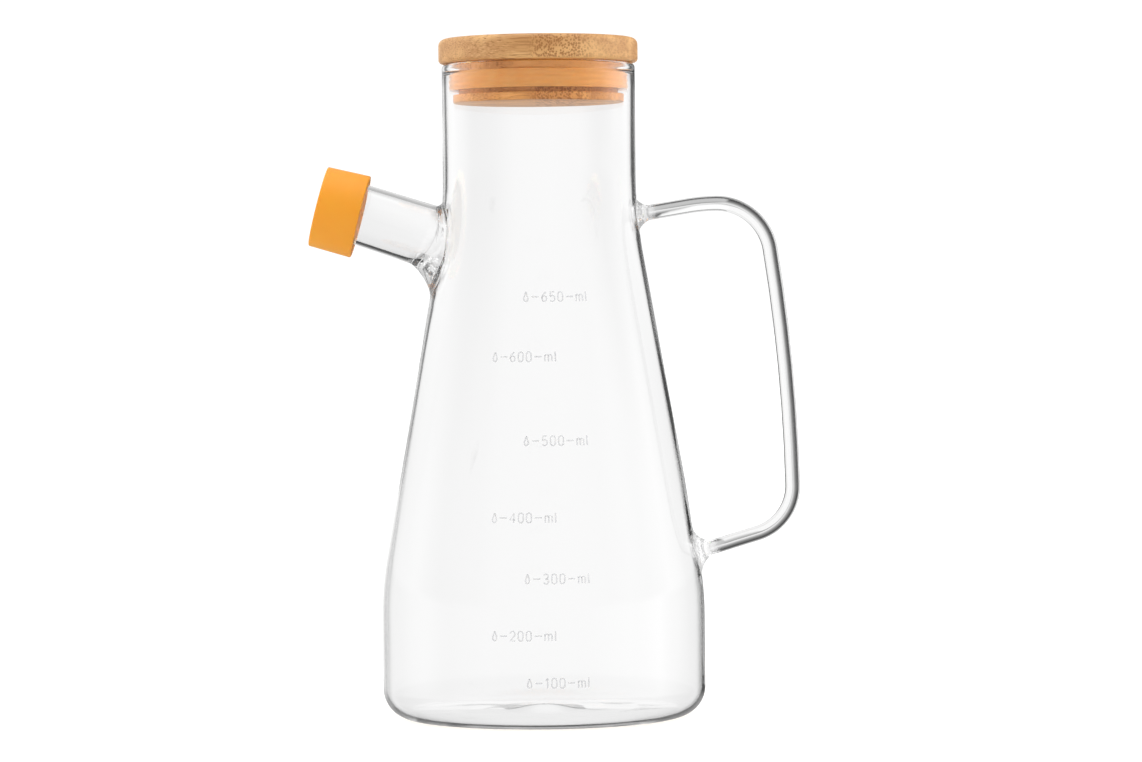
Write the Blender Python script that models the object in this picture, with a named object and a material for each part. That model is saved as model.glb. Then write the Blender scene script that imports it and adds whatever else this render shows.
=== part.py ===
"""Oil and vinegar bottle of clear glass, with a bamboo lid and a capped pouring spout.

Metres, +Z up. The bottle stands on z = 0. Its axis is vertical and passes through AXIS_X, which
centres the whole object on the origin. The spout points to -X and the handle to +X.
Shapes are worked out round the bottle's own axis, and an empty carries them all to AXIS_X.
"""

import math

import bmesh
import bpy
from mathutils import Matrix, Vector

AXIS_X = -0.0039
GAP = 0.0003

# Glass body, turned round the bottle's axis
NECK_RADIUS = 0.0283
BODY_RADIUS = 0.0470
RIM_Z = 0.1914
SHOULDER_Z = 0.1468
HIP_Z = 0.0385
SHOULDER_FILLET = 0.134
HIP_FILLET = 0.095
HEEL_FILLET = 0.0088
LIP_FILLET = 0.0007
WALL = 0.0016
FLOOR_THICKNESS = 0.0022
PUNT_RADIUS = 0.016
PUNT_HEIGHT = 0.0020
PUNT_STEPS = 4
BODY_SIDES = 72

# Spout: its axis leaves the bottle's axis at SPOUT_Z and rises by SPOUT_TILT
SPOUT_Z = 0.1311
SPOUT_TILT = math.radians(18.3)
SPOUT_LENGTH = 0.0643
SPOUT_TIP_RADIUS = 0.0084
SPOUT_ROOT_RADIUS = 0.0087
SPOUT_WALL = 0.0014
SPOUT_BORE_START = 0.021
SPOUT_SIDES = 48

# Handle: a round rod that leaves the neck, runs down beside the body and comes back to it.
# A bend is its radius and the angle that it turns through.
ROD_RADIUS = 0.0022
HANDLE_X = 0.0280
HANDLE_Z = 0.1470
HANDLE_RISE = math.radians(9.2)
TOP_RUN = 0.0156
TOP_EASE = (0.0534, math.radians(8.8))
TOP_BEND = (0.0160, math.radians(81.6))
GRIP_BOW = (0.517, math.radians(7.7))
LOW_BEND = (0.0145, math.radians(74.4))
LOW_RUN = 0.0199
BEND_STEP = math.radians(9)
LEAST_STEPS = 3
ROD_SIDES = 14

# Where a branch is fused to the body, it spreads this far along itself and along the wall
SPOUT_SPREAD_ABOVE = (0.0016, 0.0016)
SPOUT_SPREAD_BELOW = (0.0078, 0.0078)
UPPER_ROD_SPREAD = (0.0035, 0.0026)
LOWER_ROD_SPREAD = (0.0038, 0.0048)
ROOT_STEPS = 4
ROOT_SINK = 0.0004
ROOT_CORE_DEPTH = 0.006

# Bamboo lid: a disc on the rim, and a plug with a groove for the seal
LID_RADIUS = 0.0292
LID_THICKNESS = 0.0072
LID_TOP_FILLET = 0.0020
LID_BOTTOM_FILLET = 0.0011
PLUG_RADIUS = 0.0247
PLUG_DEPTH = 0.0117
PLUG_FILLET = 0.0005
LID_SIDES = 56

# Silicone seal: a ribbed band in the plug's groove
SEAL_RADIUS = 0.0263
SEAL_INNER_RADIUS = 0.0236
SEAL_TOP_DROP = 0.0026
SEAL_HEIGHT = 0.0054
SEAL_RIBS = 3
SEAL_RIB_HEIGHT = 0.0006
SEAL_RIB_STEPS = 4

# Silicone cap, pulled a little askew on the spout's end
CAP_MOUTH_X = -0.0525
CAP_MOUTH_Z = 0.1472
CAP_TILT = math.radians(14.9)
CAP_LENGTH = 0.0128
CAP_MOUTH_RADIUS = 0.0123
CAP_END_RADIUS = 0.0119
CAP_FILLET = 0.0004
CAP_CLEARANCE = 0.0004
CAP_SIDES = 48

CUTTER_REACH = 0.004
CROSSING_ROUNDS = 30
SLOPE_STEP = 0.001
MERGE = 1e-6
SMOOTH_ANGLE = math.radians(35)


def clear_scene():
    for item in list(bpy.data.objects):
        bpy.data.objects.remove(item, do_unlink=True)


def material(name, colour, roughness, alpha=1.0):
    made = bpy.data.materials.new(name)
    made.use_nodes = True
    shader = made.node_tree.nodes["Principled BSDF"]
    shader.inputs["Base Color"].default_value = (*colour, 1)
    shader.inputs["Metallic"].default_value = 0
    shader.inputs["Roughness"].default_value = roughness
    shader.inputs["Alpha"].default_value = alpha
    return made


def add_object(name, bm, parent):
    """Turns a bmesh into a smooth-shaded object whose faces point out."""
    bmesh.ops.remove_doubles(bm, verts=bm.verts, dist=MERGE)
    bmesh.ops.recalc_face_normals(bm, faces=bm.faces)
    mesh = bpy.data.meshes.new(name)
    bm.to_mesh(mesh)
    bm.free()
    mesh.shade_smooth()
    mesh.set_sharp_from_angle(angle=SMOOTH_ANGLE)
    made = bpy.data.objects.new(name, mesh)
    bpy.context.scene.collection.objects.link(made)
    made.parent = parent
    return made


def combine(target, operation, tool):
    """Adds a live Boolean to the target. The tool itself is only a guide."""
    step = target.modifiers.new(tool.name, "BOOLEAN")
    step.operation = operation
    step.solver = "EXACT"
    step.object = tool
    tool.hide_render = True
    tool.display_type = "WIRE"


def lathe(name, profile, sides, parent, ring=False):
    """Turns a profile of (radius, z) points round Z. A ring's profile is a closed loop."""
    bm = bmesh.new()
    verts = [bm.verts.new((point[0], 0, point[1])) for point in profile]
    ends = zip(verts, verts[1:] + verts[:1]) if ring else zip(verts, verts[1:])
    edges = [bm.edges.new(pair) for pair in ends]
    turned = {"axis": (0, 0, 1), "cent": (0, 0, 0), "angle": 2 * math.pi, "steps": sides}
    bmesh.ops.spin(bm, geom=verts + edges, use_merge=True, **turned)
    return add_object(name, bm, parent)


def loft(name, rings, parent, first_tip=None, last_tip=None):
    """Skins rings of points, and closes each end with a flat face or a fan to its tip."""
    bm = bmesh.new()
    rows = [[bm.verts.new(point) for point in ring] for ring in rings]
    for row, next_row in zip(rows, rows[1:]):
        for k in range(len(row)):
            bm.faces.new((row[k - 1], row[k], next_row[k], next_row[k - 1]))
    for row, tip in ((rows[0], first_tip), (rows[-1], last_tip)):
        if tip is None:
            bm.faces.new(row)
            continue
        point = bm.verts.new(tip)
        for k in range(len(row)):
            bm.faces.new((row[k - 1], row[k], point))
    return add_object(name, bm, parent)


def plane_vector(angle):
    """The unit vector in the XZ plane at this angle above +X."""
    return Vector((math.cos(angle), 0, math.sin(angle)))


def ring_at(centre, along, up, radius, sides):
    """A circle of points round a line, counted from its up side."""
    across = along.cross(up)
    angles = [2 * math.pi * k / sides for k in range(sides)]
    return [centre + (up * math.cos(a) + across * math.sin(a)) * radius for a in angles]


def rounded(corners):
    """A profile through corners of (radius, z, fillet, steps), each turned as an arc."""
    points = [Vector(corners[0][:2])]
    for before, corner, after in zip(corners, corners[1:], corners[2:]):
        here = Vector(corner[:2])
        fillet, steps = corner[2:]
        if steps == 0:
            points.append(here)
            continue
        arriving = (here - Vector(before[:2])).normalized()
        leaving = (Vector(after[:2]) - here).normalized()
        turn = arriving.angle_signed(leaving)
        inward = Vector((arriving.y, -arriving.x)) * math.copysign(fillet, turn)
        centre = here - arriving * fillet * math.tan(abs(turn) / 2) + inward
        for step in range(steps + 1):
            swing = Matrix.Rotation(-turn * step / steps, 2)
            points.append(centre - swing @ inward)
    points.append(Vector(corners[-1][:2]))
    return points


def punt_points(height):
    """The base from the edge of its hollow dome to the axis, this far above its underside."""
    points = []
    for step in range(PUNT_STEPS + 1):
        share = 1 - step / PUNT_STEPS
        rise = PUNT_HEIGHT * (1 + math.cos(math.pi * share)) / 2
        points.append(Vector((PUNT_RADIUS * share, height + rise)))
    return points


def outer_profile():
    wall = rounded(
        [
            (0, RIM_Z, 0, 0),
            (NECK_RADIUS, RIM_Z, LIP_FILLET, 2),
            (NECK_RADIUS, SHOULDER_Z, SHOULDER_FILLET, 4),
            (BODY_RADIUS, HIP_Z, HIP_FILLET, 3),
            (BODY_RADIUS, 0, HEEL_FILLET, 6),
            (PUNT_RADIUS, 0, 0, 0),
        ]
    )
    return wall[:-1] + punt_points(0)


def cavity_profile():
    """The space inside, from above the rim down, which also rounds the rim's inner edge."""
    mouth = NECK_RADIUS - WALL
    wall = rounded(
        [
            (0, RIM_Z + CUTTER_REACH, 0, 0),
            (mouth + LIP_FILLET, RIM_Z + CUTTER_REACH, 0, 0),
            (mouth + LIP_FILLET, RIM_Z, 0, 0),
            (mouth, RIM_Z, LIP_FILLET, 2),
            (mouth, SHOULDER_Z, SHOULDER_FILLET, 4),
            (BODY_RADIUS - WALL, HIP_Z, HIP_FILLET, 3),
            (BODY_RADIUS - WALL, FLOOR_THICKNESS, HEEL_FILLET - WALL, 5),
            (PUNT_RADIUS, FLOOR_THICKNESS, 0, 0),
        ]
    )
    return wall[:-1] + punt_points(FLOOR_THICKNESS)


def wall_radius(z):
    """Radius of the glass body's outside at this height."""
    points = outer_profile()
    for upper, lower in zip(points, points[1:]):
        if lower.y <= z < upper.y:
            return lower.x + (upper.x - lower.x) * (z - lower.y) / (upper.y - lower.y)
    return NECK_RADIUS


def wall_normal(point):
    rise = wall_radius(point.z + SLOPE_STEP) - wall_radius(point.z - SLOPE_STEP)
    slope = rise / (2 * SLOPE_STEP)
    return Vector((point.x, point.y, -slope * point.xy.length)).normalized()


def sunk_in_wall(point, depth):
    """The spot on the body's outside level with the point, moved in by depth."""
    spot = point.xy.normalized() * wall_radius(point.z)
    return spot.to_3d() + Vector((0, 0, point.z)) - wall_normal(point) * depth


def wall_crossing(start, direction):
    """Where a line that starts inside the body leaves it."""
    near, far = 0, 2 * BODY_RADIUS
    for _ in range(CROSSING_ROUNDS):
        middle = (near + far) / 2
        point = start + direction * middle
        if point.xy.length < wall_radius(point.z):
            near = middle
        else:
            far = middle
    return start + direction * near


def blend(start, start_pull, end, end_pull, t):
    """A cubic from start to end, which leaves and arrives along the two pulls."""
    leave = start * (1 + t * t * (2 * t - 3)) + start_pull * (t * (t - 1) ** 2)
    arrive = end * (t * t * (3 - 2 * t)) + end_pull * (t * t * (t - 1))
    return leave + arrive


def fused_root(start, outward, up, radius, above, below, sides):
    """Rings of a branch, from the wall where it spreads out to where it is a plain tube.

    above and below give the spread along the branch and along the wall on its two sides.
    """
    across = outward.cross(up)
    rings = [[] for _ in range(ROOT_STEPS + 1)]
    for k in range(sides):
        angle = 2 * math.pi * k / sides
        spoke = up * math.cos(angle) + across * math.sin(angle)
        foot = wall_crossing(start + spoke * radius, outward)
        share = ((1 - math.cos(angle)) / 2) ** 2
        along_branch = above[0] + (below[0] - above[0]) * share
        along_wall = above[1] + (below[1] - above[1]) * share
        normal = wall_normal(foot)
        spread = (spoke - normal * spoke.dot(normal)).normalized() * along_wall
        low = sunk_in_wall(foot + spread, ROOT_SINK)
        climb = outward * along_branch
        for step, ring in enumerate(rings):
            ring.append(blend(low, -spread, foot + climb, climb, step / ROOT_STEPS))
    return rings


def spout_frame():
    """The spout's start on the bottle's axis, its direction and its up side."""
    outward = plane_vector(math.pi - SPOUT_TILT)
    return Vector((0, 0, SPOUT_Z)), outward, plane_vector(math.pi / 2 - SPOUT_TILT)


def spout_ring(distance, radius):
    start, outward, up = spout_frame()
    return ring_at(start + outward * distance, outward, up, radius, SPOUT_SIDES)


def spout_outside(parent):
    start, outward, up = spout_frame()
    spread = (SPOUT_SPREAD_ABOVE, SPOUT_SPREAD_BELOW)
    rings = fused_root(start, outward, up, SPOUT_ROOT_RADIUS, *spread, SPOUT_SIDES)
    rings.append(spout_ring(SPOUT_LENGTH, SPOUT_TIP_RADIUS))
    core = start + outward * (NECK_RADIUS - ROOT_CORE_DEPTH)
    return loft("spout_outside", rings, parent, first_tip=core)


def spout_bore(parent):
    near = spout_ring(SPOUT_BORE_START, SPOUT_ROOT_RADIUS - SPOUT_WALL)
    far = spout_ring(SPOUT_LENGTH + CUTTER_REACH, SPOUT_TIP_RADIUS - SPOUT_WALL)
    return loft("spout_bore", [near, far], parent)


def handle_path():
    """Points of the rod's centre line with their headings, between its two straight ends."""
    heading = HANDLE_RISE
    point = Vector((HANDLE_X, 0, HANDLE_Z)) + plane_vector(heading) * TOP_RUN
    path = [(point, heading)]
    for radius, turn in (TOP_EASE, TOP_BEND, GRIP_BOW, LOW_BEND):
        steps = max(LEAST_STEPS, math.ceil(turn / BEND_STEP))
        half = turn / steps / 2
        for _ in range(steps):
            point = point + plane_vector(heading - half) * (2 * radius * math.sin(half))
            heading -= 2 * half
            path.append((point, heading))
    return path


def rod_root(end, outward, up, spread):
    """Rings of one end of the rod, from the wall outwards, and the tip of its core."""
    core = end - outward * ROOT_CORE_DEPTH
    rings = fused_root(core, outward, up, ROD_RADIUS, spread, spread, ROD_SIDES)
    return rings, core


def handle(parent):
    path = handle_path()
    rings = []
    for point, heading in path:
        up = plane_vector(heading + math.pi / 2)
        rings.append(ring_at(point, plane_vector(heading), up, ROD_RADIUS, ROD_SIDES))
    neck_end = Vector((HANDLE_X, 0, HANDLE_Z))
    neck_up = plane_vector(HANDLE_RISE + math.pi / 2)
    upper, upper_core = rod_root(neck_end, plane_vector(HANDLE_RISE), neck_up, UPPER_ROD_SPREAD)
    last, heading = path[-1]
    body_end = last + plane_vector(heading) * LOW_RUN
    body_up = plane_vector(heading + math.pi / 2)
    lower, lower_core = rod_root(body_end, -plane_vector(heading), body_up, LOWER_ROD_SPREAD)
    # The lower root looks back along the rod, so its rings run the other way round
    lower = [ring[:1] + ring[:0:-1] for ring in reversed(lower)]
    return loft("handle", upper + rings + lower, parent, upper_core, lower_core)


def glass_bottle(parent):
    bottle = lathe("glass_bottle", outer_profile(), BODY_SIDES, parent)
    combine(bottle, "UNION", spout_outside(parent))
    combine(bottle, "UNION", handle(parent))
    combine(bottle, "DIFFERENCE", lathe("cavity", cavity_profile(), BODY_SIDES, parent))
    combine(bottle, "DIFFERENCE", spout_bore(parent))
    bottle.data.materials.append(material("clear_glass", (0.93, 0.95, 0.95), 0.02, 0.35))


def bamboo_lid(parent):
    underside = RIM_Z + GAP
    top = underside + LID_THICKNESS
    seal_top = underside - SEAL_TOP_DROP
    groove_top = seal_top + GAP
    groove_bottom = seal_top - SEAL_HEIGHT - GAP
    groove_radius = SEAL_INNER_RADIUS - GAP
    plug_bottom = underside - PLUG_DEPTH
    profile = rounded(
        [
            (0, top, 0, 0),
            (LID_RADIUS, top, LID_TOP_FILLET, 4),
            (LID_RADIUS, underside, LID_BOTTOM_FILLET, 2),
            (PLUG_RADIUS, underside, 0, 0),
            (PLUG_RADIUS, groove_top, 0, 0),
            (groove_radius, groove_top, 0, 0),
            (groove_radius, groove_bottom, 0, 0),
            (PLUG_RADIUS, groove_bottom, 0, 0),
            (PLUG_RADIUS, plug_bottom, PLUG_FILLET, 2),
            (0, plug_bottom, 0, 0),
        ]
    )
    lid = lathe("bamboo_lid", profile, LID_SIDES, parent)
    lid.data.materials.append(material("bamboo", (0.62, 0.40, 0.20), 0.5))


def seal_ring(parent):
    seal_top = RIM_Z + GAP - SEAL_TOP_DROP
    steps = SEAL_RIBS * SEAL_RIB_STEPS
    profile = [(SEAL_INNER_RADIUS, seal_top)]
    for step in range(steps + 1):
        share = step / steps
        valley = SEAL_RIB_HEIGHT * math.cos(math.pi * SEAL_RIBS * share) ** 2
        profile.append((SEAL_RADIUS - valley, seal_top - SEAL_HEIGHT * share))
    profile.append((SEAL_INNER_RADIUS, seal_top - SEAL_HEIGHT))
    seal = lathe("seal_ring", profile, LID_SIDES, parent, ring=True)
    seal.data.materials.append(material("clear_silicone", (0.82, 0.62, 0.40), 0.35))


def spout_cap(parent):
    profile = rounded(
        [
            (0, CAP_LENGTH, 0, 0),
            (CAP_END_RADIUS, CAP_LENGTH, CAP_FILLET, 2),
            (CAP_MOUTH_RADIUS, 0, CAP_FILLET, 2),
            (0, 0, 0, 0),
        ]
    )
    cap = lathe("spout_cap", profile, CAP_SIDES, parent)
    cap.location = (CAP_MOUTH_X, 0, CAP_MOUTH_Z)
    cap.rotation_euler.y = CAP_TILT - math.pi / 2
    mouth_side = spout_ring(
        SPOUT_LENGTH - CAP_LENGTH - CUTTER_REACH / 2, SPOUT_ROOT_RADIUS + CAP_CLEARANCE
    )
    tip_side = spout_ring(SPOUT_LENGTH + CAP_CLEARANCE, SPOUT_TIP_RADIUS + CAP_CLEARANCE)
    combine(cap, "DIFFERENCE", loft("cap_bore", [mouth_side, tip_side], parent))
    cap.data.materials.append(material("orange_silicone", (0.93, 0.37, 0.04), 0.5))


def main():
    clear_scene()
    bottle_axis = bpy.data.objects.new("bottle_axis", None)
    bpy.context.scene.collection.objects.link(bottle_axis)
    bottle_axis.location.x = AXIS_X
    glass_bottle(bottle_axis)
    bamboo_lid(bottle_axis)
    seal_ring(bottle_axis)
    spout_cap(bottle_axis)


main()
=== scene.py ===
"""The bottle's looks: fine glass, bamboo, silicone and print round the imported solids.

Metres, +Z up. As in the solids, the bottle's axis is vertical and passes through AXIS_X.
Shapes are worked out round that axis, and each finished mesh is shifted to it.
"""

from math import atan2, ceil, copysign, cos, exp, pi, radians, sin, tan

import bmesh
import bpy
import numpy
from mathutils import Matrix, Vector, noise


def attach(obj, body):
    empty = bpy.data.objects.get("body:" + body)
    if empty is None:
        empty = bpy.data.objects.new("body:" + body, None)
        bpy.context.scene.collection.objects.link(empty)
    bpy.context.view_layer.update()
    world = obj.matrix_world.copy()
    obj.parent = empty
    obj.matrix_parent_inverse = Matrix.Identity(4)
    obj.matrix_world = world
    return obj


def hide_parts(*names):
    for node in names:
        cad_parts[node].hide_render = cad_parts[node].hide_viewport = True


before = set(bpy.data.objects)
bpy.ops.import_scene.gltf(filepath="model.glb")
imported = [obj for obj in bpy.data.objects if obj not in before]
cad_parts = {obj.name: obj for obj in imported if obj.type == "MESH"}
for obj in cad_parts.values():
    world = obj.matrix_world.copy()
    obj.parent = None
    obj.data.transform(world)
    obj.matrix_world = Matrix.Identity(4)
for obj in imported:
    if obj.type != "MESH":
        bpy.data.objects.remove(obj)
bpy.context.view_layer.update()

AXIS_X = -0.0039
SHARP_EDGE = radians(42)
GAP = 0.0003

# Glass body
NECK_RADIUS = 0.0283
BODY_RADIUS = 0.0473
RIM_Z = 0.1914
SHOULDER_Z = 0.1468
HIP_Z = 0.0385
SHOULDER_FILLET = 0.134
HIP_FILLET = 0.095
HEEL_FILLET = 0.0088
WALL = 0.0016
BODY_WALL = 0.0008
THIN_WALL_Z = 0.0640
FLOOR_THICKNESS = 0.0010
PUNT_RADIUS = 0.013
PUNT_HEIGHT = (0.0029, 0.0021)
ARC_STEPS = 24

# Sides of the wall, counted in wall thicknesses from the outside
OUTSIDE = 0
INSIDE = 1

# The wall's grid: columns round the axis, and rows that close up where a branch joins
COLUMNS = 216
JOINT_TOP = 0.1550
JOINT_BOTTOM = 0.1195
CONE_BOTTOM = 0.0575
LOW_JOINT_BOTTOM = 0.0383
NECK_ROWS = 9
JOINT_ROWS = 35
CONE_ROWS = 16
ROD_ROWS = 16
HIP_ROWS = 10
LIP_STEPS = 8
RIM_LIP = 0.00115
RIM_DEPTH = 0.0036
RIM_EASE_STEPS = 6
HEEL_STEPS = 16
PUNT_STEPS = 10
FOOT_STEPS = 3
SPOUT_HALF_COLUMNS = 18
ROD_HALF_COLUMNS = 9

# Spout
SPOUT_Z = 0.1306
SPOUT_TILT = radians(18.3)
SPOUT_LENGTH = 0.0643
SPOUT_TIP_RADIUS = 0.0088
SPOUT_ROOT_RADIUS = 0.0092
SPOUT_WALL = 0.0012
SPOUT_STEPS = 12
SPOUT_WELD = 0.5
SPOUT_WELD_FADE = 4

# Handle: radius and turning angle of each bend of the rod
ROD_RADIUS = 0.0022
HANDLE_X = 0.0280
HANDLE_Z = 0.1470
HANDLE_RISE = radians(9.2)
TOP_RUN = 0.0156
TOP_EASE = (0.0534, radians(8.8))
TOP_BEND = (0.0160, radians(81.6))
GRIP_BOW = (0.517, radians(7.7))
LOW_BEND = (0.0145, radians(74.4))
LOW_RUN = 0.0199
BEND_STEP = radians(3)
LEAST_STEPS = 6
RUN_STEPS = 6
ROOT_RUNS = 3

# Where a branch is fused to the body, it spreads this far along itself and along the wall
SPOUT_SPREAD = ((0.0016, 0.0016), (0.0078, 0.0078))
BORE_SPREAD = ((0.0016, 0.0014), (0.0040, 0.0040))
UPPER_ROD_SPREAD = (0.0035, 0.0026)
LOWER_ROD_SPREAD = (0.0038, 0.0048)
ROOT_STEPS = 12
PATCH_STEPS = 5
ROOT_CORE_DEPTH = 0.006
CROSSING_ROUNDS = 30
SLOPE_STEP = 0.001

# Marks of the hand work
LUMP_SIZE = 0.0028
LUMP_HEIGHT = 0.00014
FINE_LUMPS = 0.5
FINER = 2.3
DENT_Z = 0.054
DENT_DEPTH = 0.00045
DENT_DEPTH_INSIDE = 0.0006
DENT_RADIUS = 0.0085
DENT_REACH = 0.003

# Bamboo lid and silicone seal
LID_RADIUS = 0.0292
LID_THICKNESS = 0.0072
LID_TOP_FILLET = 0.0020
LID_TOP_STEPS = 8
LID_BOTTOM_FILLET = 0.0011
LID_BOTTOM_STEPS = 5
PLUG_RADIUS = 0.0250
PLUG_DEPTH = 0.0117
PLUG_FILLET = 0.0005
PLUG_STEPS = 4
SEAL_RADIUS = 0.0263
SEAL_INNER_RADIUS = 0.0236
SEAL_TOP_DROP = 0.0026
SEAL_HEIGHT = 0.0054
GROOVE_GAP = 0.0013
SEAL_RIBS = 3
SEAL_RIB_HEIGHT = 0.0003
SEAL_RIB_STEPS = 12
LID_COLUMNS = 180
EDGE_EASE = 0.0002
EDGE_STEPS = 3

# Silicone cap
CAP_MOUTH_X = -0.0525
CAP_MOUTH_Z = 0.1472
CAP_TILT = radians(14.9)
CAP_LENGTH = 0.0128
CAP_MOUTH_RADIUS = 0.0123
CAP_END_RADIUS = 0.0119
CAP_FILLET = 0.0004
CAP_FILLET_STEPS = 5
CAP_CLEARANCE = 0.0004
CAP_COLUMNS = 144
BORE_STEPS = 6

# Print: each mark's number, its height and how far right of the front its middle lies
PRINT_HEIGHT = 0.00275
PRINT_STROKE = 0.0004
PRINT_SPACE = 0.34
PRINT_PAINT = 0.00002
PRINT_LIFT = 0.00004
ARC_POINTS = 9
VOLUME_MARKS = [
    ("650", 0.1233, 0.0045),
    ("600", 0.1062, -0.0047),
    ("500", 0.0823, 0.0043),
    ("400", 0.0606, -0.0051),
    ("300", 0.0434, 0.0043),
    ("200", 0.0273, -0.0054),
    ("100", 0.0139, 0.0043),
]

# Materials
GLASS_IOR = 1.474
WAVE_SCALE = 55.0
WAVE_STRENGTH = 0.25
WAVE_HEIGHT = 0.0004
WELD_ALPHA = 0.35
GRAIN_TURN = radians(8)
GRAIN_STRETCH = 12
FIBRE_STRETCH = 26
BUNDLE_SCALE = 1700.0
FIBRE_SCALE = 2000.0
TONE_SCALE = 150.0
JOIN_X = -0.0055
JOIN_EASE = 0.0025
DOTS_FADE = (0.011, 0.019)
FAINT_DOTS = 0.35
COLLAR_Z = 0.1902
COLLAR_FADE = (0.0016, 0.0020)
LID_TOP_Z = 0.1989
TOP_FADE = (0.0005, 0.0001)
BAMBOO_PALE = (0.78, 0.44, 0.17, 1)
BAMBOO_DEEP = (0.60, 0.30, 0.105, 1)
BAMBOO_WARM = (0.84, 0.52, 0.24, 1)
BAMBOO_DARK = (0.36, 0.14, 0.035, 1)
SEAL_PALE = (1.0, 0.64, 0.28, 1)
SEAL_DEEP = (1.0, 0.50, 0.15, 1)
CAP_PALE = (1.0, 0.42, 0.034, 1)
CAP_DEEP = (1.0, 0.375, 0.024, 1)
# The cap's colour where glass mirrors it: a painted white reflection
CAP_PAINTED_REFLECTION = (1.0, 1.0, 1.0, 1)
PRINT_DEEP = (0.52, 0.53, 0.55, 1)
PRINT_PALE = (0.62, 0.63, 0.65, 1)
PRINT_ALPHA = 0.35

# Light, as strengths by direction in degrees. A curve is a row of (angle off +Y, light) points
SCENE_WHITE = 1.08

# Studio, which lights what isn't glass. The seal and the plug are lit through glass
LEFT_BOX_LIGHT = 2.05
RIGHT_BOX_LIGHT = 2.5
BOX_NEAR_SIDE = (56.0, 66.0)
BOX_FAR_SIDE = (140.0, 128.0)
FRONT_LIGHT = 0.3
FRONT_FADE = (20.0, 40.0)
SLOPE_LIGHT = 0.45
SLOPE_FADE = (30.0, 50.0)
OVERHEAD_LIGHT = 2.4
OVERHEAD_FADE = (50.0, 65.0)
ENCLOSED_BOOST = 2.15
ENCLOSED_TINT = (1.0, 0.76, 0.46, 1)

# What shows through two walls of the glass, or after mirroring inside the bottle
WALL_WHITE = 1.0
FIELD_SPACING = 45.0
FIELD_HALF_WIDTH = 9.0
FIELD_EASE = 5.0
GAP_LIGHT = 0.2
PHOTO_FIELD_EDGE = (34.0, 39.0)
INNER_LIGHT = 1.0
FAR_FLOOR = (-7.5, -4.2)
FAR_FLOOR_LIGHT = 0.96
BASE_MIRRORED_LIGHT = 0.82
BASE_MIRRORED_LOW = (5.2, 6.0)
BASE_MIRRORED_HIGH = (55.0, 35.0)
WALL_LEFT = (
    (0, 1), (1.3, 0.99), (2.5, 0.92), (4.5, 0.86), (8, 0.89), (13, 0.97),
    (19, 0.95), (25, 0.8), (28, 0.46), (32, 0.22), (40, 0.15),
)
WALL_RIGHT = (
    (0, 1), (1.3, 0.99), (2.5, 0.91), (4.5, 0.85), (8, 0.89), (12, 0.98),
    (16, 0.93), (20, 0.72), (24, 0.4), (28, 0.18), (40, 0.1),
)

# What an edge of the wall shows, where light is mirrored inside the wall
CONE_NARROWING = 1.15
CONE_HEIGHTS = (0.5, 3.0)
EDGE_MOST_BOUNCES = 3.5
EDGE_UPRIGHT = (0.5, 0.9)
BASE_UPRIGHT = (-0.965, -0.985)
EDGE_LEFT = (
    (0, 1), (11, 0.86), (17, 0.72), (21, 0.5), (24, 0.16), (26, 0.04), (31, 0.04),
    (34, 0.6), (38, 0.95), (90, 0.95), (110, 0.4), (180, 0.4),
)
EDGE_RIGHT = (
    (0, 0.97), (5, 0.85), (8, 0.52), (12, 0.34), (17, 0.14), (22, 0.05), (32, 0.03),
    (36, 0.6), (40, 0.95), (60, 1), (90, 1), (110, 0.4), (180, 0.4),
)
EDGE_UP = ((0, 0.9), (10, 0.85), (20, 0.75), (28, 0.6), (45, 0.5), (60, 0.4), (180, 0.4))
EDGE_DOWN = (
    (0, 1), (8, 0.85), (13, 0.6), (17, 0.12), (28, 0.02), (45, 0.02), (60, 0.4), (180, 0.4),
)
EDGE_BASE = (
    (0, 1), (8, 0.9), (14, 0.6), (22, 0.5), (29, 0.55), (33, 0.3), (37, 0.03), (52, 0.02),
    (60, 0.4), (180, 0.4),
)

# What solid glass shows, such as the handle's rod
HANDLE_AZIMUTH = 2.4
ROD_MOST_SURFACES = 2.5
ROD_UPRIGHT = (0.966, 0.984)
ROD_LEFT = (
    (0, 0.88), (2.4, 0.85), (8.4, 0.48), (13.4, 0.25), (19.4, 0.15), (26.4, 0.04),
    (34.4, 0.05), (47.4, 0.45), (62.4, 0.75), (97.4, 0.8),
)
ROD_RIGHT = (
    (0, 0.9), (1.6, 0.92), (7.6, 1), (27.6, 1), (31.6, 0.9), (35.6, 0.85), (43.6, 0.95),
    (92.6, 0.95),
)
ROD_UP = (
    (0, 0.2), (3, 0.6), (7, 0.95), (11, 1.05), (36, 1.05), (41, 0.35), (46, 0.25), (52, 0.8),
    (95, 0.8),
)
ROD_DOWN = (
    (0, 0.2), (4, 0.4), (9, 0.56), (20, 0.6), (27, 0.5), (31, 0.15), (42, 0.05), (50, 0.7),
    (95, 0.8),
)

# What the outer surface of the glass mirrors
MIRRORED_BELOW = 0.6
MIRRORED_FLOOR = (-12.0, -5.0)
MIRRORED_LEFT = (
    (0, 1), (22, 0.95), (31, 0.85), (34, 0.45), (38, 0.4), (42, 0.65), (55, 1),
    (70, 1.45), (84, 1.7), (112, 1.1), (150, 0.25), (180, 0.25),
)
MIRRORED_RIGHT = (
    (0, 0.8), (8, 0.4), (16, 0.1), (28, 0.1), (37, 0.35), (41, 0.5), (46, 0.65),
    (62, 1.05), (76, 1.6), (88, 2), (112, 1.2), (150, 0.25), (180, 0.25),
)

# Floor
FLOOR_GLOW = 0.8
FLOOR_BOUNCE = 0.4
FLOOR_PAPER = 0.4
FLOOR_REACH = 12.0
FLOOR_DROP = 0.0001

# Camera
PICTURE_WIDTH = 1142
SENSOR = 36
FOCAL_PIXELS = 4300
CAMERA_PLACE = (0.0048, -1.262, 0.1233)
CAMERA_DROP = radians(1.127)
CAMERA_ROLL = radians(-0.589)
NEAREST = 0.05
FARTHEST = 50


# Skins

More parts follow.
